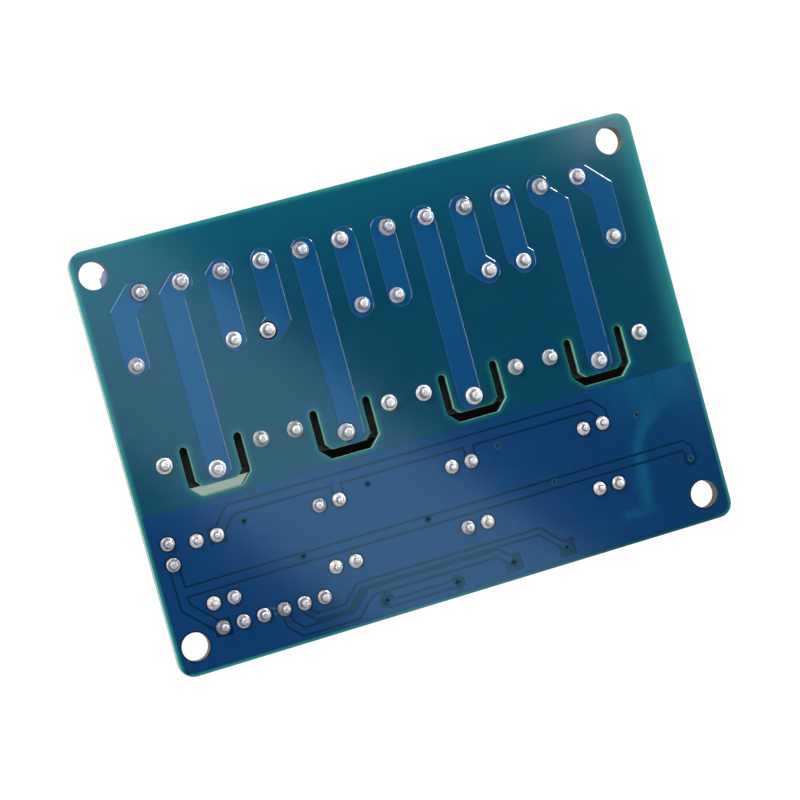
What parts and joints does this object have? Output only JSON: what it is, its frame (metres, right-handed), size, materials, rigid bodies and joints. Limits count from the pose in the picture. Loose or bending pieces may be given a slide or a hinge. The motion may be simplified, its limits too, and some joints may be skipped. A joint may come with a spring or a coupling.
{
  "type": "relay module board",
  "caption": "Flat circuit board with a row of box relays, rising-cage screw terminals, optocouplers and pin headers, lying solder side up; switches mains loads from logic inputs.",
  "frame": {"origin": "middle of the board's outline, on the plane of the relay tops that the board rests on", "axes": "+X along the long side of the board, +Y towards the edge with the terminal blocks, +Z out of the solder side"},
  "size_m": [0.0716, 0.0516, 0.0183],
  "materials": {
    "laminate": "glossy solder mask over glass laminate",
    "masked_copper": "glossy solder mask over copper",
    "solder": "bright solder",
    "relay_cover": "smooth moulded",
    "relay_base": "moulded, sealed",
    "tinned": "tinned",
    "terminal_housing": "moulded polyamide",
    "brass_strip": "tinned brass strip",
    "black_resin": "moulded resin",
    "black_nylon": "moulded",
    "gilt_pin": "thin gold plating",
    "jumper_plastic": "moulded",
    "lamp_resin": "clear resin",
    "screw_steel": "zinc plated",
    "plated_steel": "plated steel strip"
  },
  "bodies": {
    "board_assembly": {"circuit_board": "laminate", "ground_plane": "masked_copper", "power_tracks": "masked_copper", "signal_traces": "masked_copper", "solder_terminals": "solder", "solder_relays": "solder", "solder_small": "solder", "relay_1_cover": "relay_cover", "relay_2_cover": "relay_cover", "relay_3_cover": "relay_cover", "relay_4_cover": "relay_cover", "relay_1_base": "relay_base", "relay_2_base": "relay_base", "relay_3_base": "relay_base", "relay_4_base": "relay_base", "relay_pins": "tinned", "terminal_1_housing": "terminal_housing", "terminal_2_housing": "terminal_housing", "terminal_3_housing": "terminal_housing", "terminal_4_housing": "terminal_housing", "terminal_1_contacts": "brass_strip", "terminal_2_contacts": "brass_strip", "terminal_3_contacts": "brass_strip", "terminal_4_contacts": "brass_strip", "optocouplers": "black_resin", "optocoupler_leads": "tinned", "input_header": "black_nylon", "input_header_pins": "gilt_pin", "jumper_header": "black_nylon", "jumper_header_pins": "gilt_pin", "jumper_cap": "jumper_plastic", "status_lamps": "lamp_resin", "chip_resistors": "black_resin", "flyback_diodes": "black_resin", "driver_transistors": "black_resin"},
    "screw_01": {"screw_01": "screw_steel"},
    "screw_02": {"screw_02": "screw_steel"},
    "screw_03": {"screw_03": "screw_steel"},
    "screw_04": {"screw_04": "screw_steel"},
    "screw_05": {"screw_05": "screw_steel"},
    "screw_06": {"screw_06": "screw_steel"},
    "screw_07": {"screw_07": "screw_steel"},
    "screw_08": {"screw_08": "screw_steel"},
    "screw_09": {"screw_09": "screw_steel"},
    "screw_10": {"screw_10": "screw_steel"},
    "screw_11": {"screw_11": "screw_steel"},
    "screw_12": {"screw_12": "screw_steel"},
    "clamp_01": {"clamp_01": "plated_steel"},
    "clamp_02": {"clamp_02": "plated_steel"},
    "clamp_03": {"clamp_03": "plated_steel"},
    "clamp_04": {"clamp_04": "plated_steel"},
    "clamp_05": {"clamp_05": "plated_steel"},
    "clamp_06": {"clamp_06": "plated_steel"},
    "clamp_07": {"clamp_07": "plated_steel"},
    "clamp_08": {"clamp_08": "plated_steel"},
    "clamp_09": {"clamp_09": "plated_steel"},
    "clamp_10": {"clamp_10": "plated_steel"},
    "clamp_11": {"clamp_11": "plated_steel"},
    "clamp_12": {"clamp_12": "plated_steel"}
  },
  "joints": [
    {"name": "screw_01_turn", "type": "hinge", "parent": "board_assembly", "child": "screw_01", "pos_m": [-0.02858, 0.01945, 0.006], "axis": [0, 0, 1], "range_deg": [0, 1800]},
    {"name": "screw_02_turn", "type": "hinge", "parent": "board_assembly", "child": "screw_02", "pos_m": [-0.02358, 0.01945, 0.006], "axis": [0, 0, 1], "range_deg": [0, 1800]},
    {"name": "screw_03_turn", "type": "hinge", "parent": "board_assembly", "child": "screw_03", "pos_m": [-0.01858, 0.01945, 0.006], "axis": [0, 0, 1], "range_deg": [0, 1800]},
    {"name": "screw_04_turn", "type": "hinge", "parent": "board_assembly", "child": "screw_04", "pos_m": [-0.01358, 0.01945, 0.006], "axis": [0, 0, 1], "range_deg": [0, 1800]},
    {"name": "screw_05_turn", "type": "hinge", "parent": "board_assembly", "child": "screw_05", "pos_m": [-0.00858, 0.01945, 0.006], "axis": [0, 0, 1], "range_deg": [0, 1800]},
    {"name": "screw_06_turn", "type": "hinge", "parent": "board_assembly", "child": "screw_06", "pos_m": [-0.00358, 0.01945, 0.006], "axis": [0, 0, 1], "range_deg": [0, 1800]},
    {"name": "screw_07_turn", "type": "hinge", "parent": "board_assembly", "child": "screw_07", "pos_m": [0.00246, 0.01945, 0.006], "axis": [0, 0, 1], "range_deg": [0, 1800]},
    {"name": "screw_08_turn", "type": "hinge", "parent": "board_assembly", "child": "screw_08", "pos_m": [0.00746, 0.01945, 0.006], "axis": [0, 0, 1], "range_deg": [0, 1800]},
    {"name": "screw_09_turn", "type": "hinge", "parent": "board_assembly", "child": "screw_09", "pos_m": [0.01246, 0.01945, 0.006], "axis": [0, 0, 1], "range_deg": [0, 1800]},
    {"name": "screw_10_turn", "type": "hinge", "parent": "board_assembly", "child": "screw_10", "pos_m": [0.01746, 0.01945, 0.006], "axis": [0, 0, 1], "range_deg": [0, 1800]},
    {"name": "screw_11_turn", "type": "hinge", "parent": "board_assembly", "child": "screw_11", "pos_m": [0.02246, 0.01945, 0.006], "axis": [0, 0, 1], "range_deg": [0, 1800]},
    {"name": "screw_12_turn", "type": "hinge", "parent": "board_assembly", "child": "screw_12", "pos_m": [0.02746, 0.01945, 0.006], "axis": [0, 0, 1], "range_deg": [0, 1800]},
    {"name": "clamp_01_rise", "type": "slide", "parent": "board_assembly", "child": "clamp_01", "axis": [0, 0, -1], "range_m": [0, 0.00225]},
    {"name": "clamp_02_rise", "type": "slide", "parent": "board_assembly", "child": "clamp_02", "axis": [0, 0, -1], "range_m": [0, 0.00225]},
    {"name": "clamp_03_rise", "type": "slide", "parent": "board_assembly", "child": "clamp_03", "axis": [0, 0, -1], "range_m": [0, 0.00225]},
    {"name": "clamp_04_rise", "type": "slide", "parent": "board_assembly", "child": "clamp_04", "axis": [0, 0, -1], "range_m": [0, 0.00225]},
    {"name": "clamp_05_rise", "type": "slide", "parent": "board_assembly", "child": "clamp_05", "axis": [0, 0, -1], "range_m": [0, 0.00225]},
    {"name": "clamp_06_rise", "type": "slide", "parent": "board_assembly", "child": "clamp_06", "axis": [0, 0, -1], "range_m": [0, 0.00225]},
    {"name": "clamp_07_rise", "type": "slide", "parent": "board_assembly", "child": "clamp_07", "axis": [0, 0, -1], "range_m": [0, 0.00225]},
    {"name": "clamp_08_rise", "type": "slide", "parent": "board_assembly", "child": "clamp_08", "axis": [0, 0, -1], "range_m": [0, 0.00225]},
    {"name": "clamp_09_rise", "type": "slide", "parent": "board_assembly", "child": "clamp_09", "axis": [0, 0, -1], "range_m": [0, 0.00225]},
    {"name": "clamp_10_rise", "type": "slide", "parent": "board_assembly", "child": "clamp_10", "axis": [0, 0, -1], "range_m": [0, 0.00225]},
    {"name": "clamp_11_rise", "type": "slide", "parent": "board_assembly", "child": "clamp_11", "axis": [0, 0, -1], "range_m": [0, 0.00225]},
    {"name": "clamp_12_rise", "type": "slide", "parent": "board_assembly", "child": "clamp_12", "axis": [0, 0, -1], "range_m": [0, 0.00225]}
  ],
  "couplings": [
    {"joint": "screw_01_turn", "follows": "clamp_01_rise", "rad_per_m": 13963},
    {"joint": "screw_02_turn", "follows": "clamp_02_rise", "rad_per_m": 13963},
    {"joint": "screw_03_turn", "follows": "clamp_03_rise", "rad_per_m": 13963},
    {"joint": "screw_04_turn", "follows": "clamp_04_rise", "rad_per_m": 13963},
    {"joint": "screw_05_turn", "follows": "clamp_05_rise", "rad_per_m": 13963},
    {"joint": "screw_06_turn", "follows": "clamp_06_rise", "rad_per_m": 13963},
    {"joint": "screw_07_turn", "follows": "clamp_07_rise", "rad_per_m": 13963},
    {"joint": "screw_08_turn", "follows": "clamp_08_rise", "rad_per_m": 13963},
    {"joint": "screw_09_turn", "follows": "clamp_09_rise", "rad_per_m": 13963},
    {"joint": "screw_10_turn", "follows": "clamp_10_rise", "rad_per_m": 13963},
    {"joint": "screw_11_turn", "follows": "clamp_11_rise", "rad_per_m": 13963},
    {"joint": "screw_12_turn", "follows": "clamp_12_rise", "rad_per_m": 13963}
  ]
}
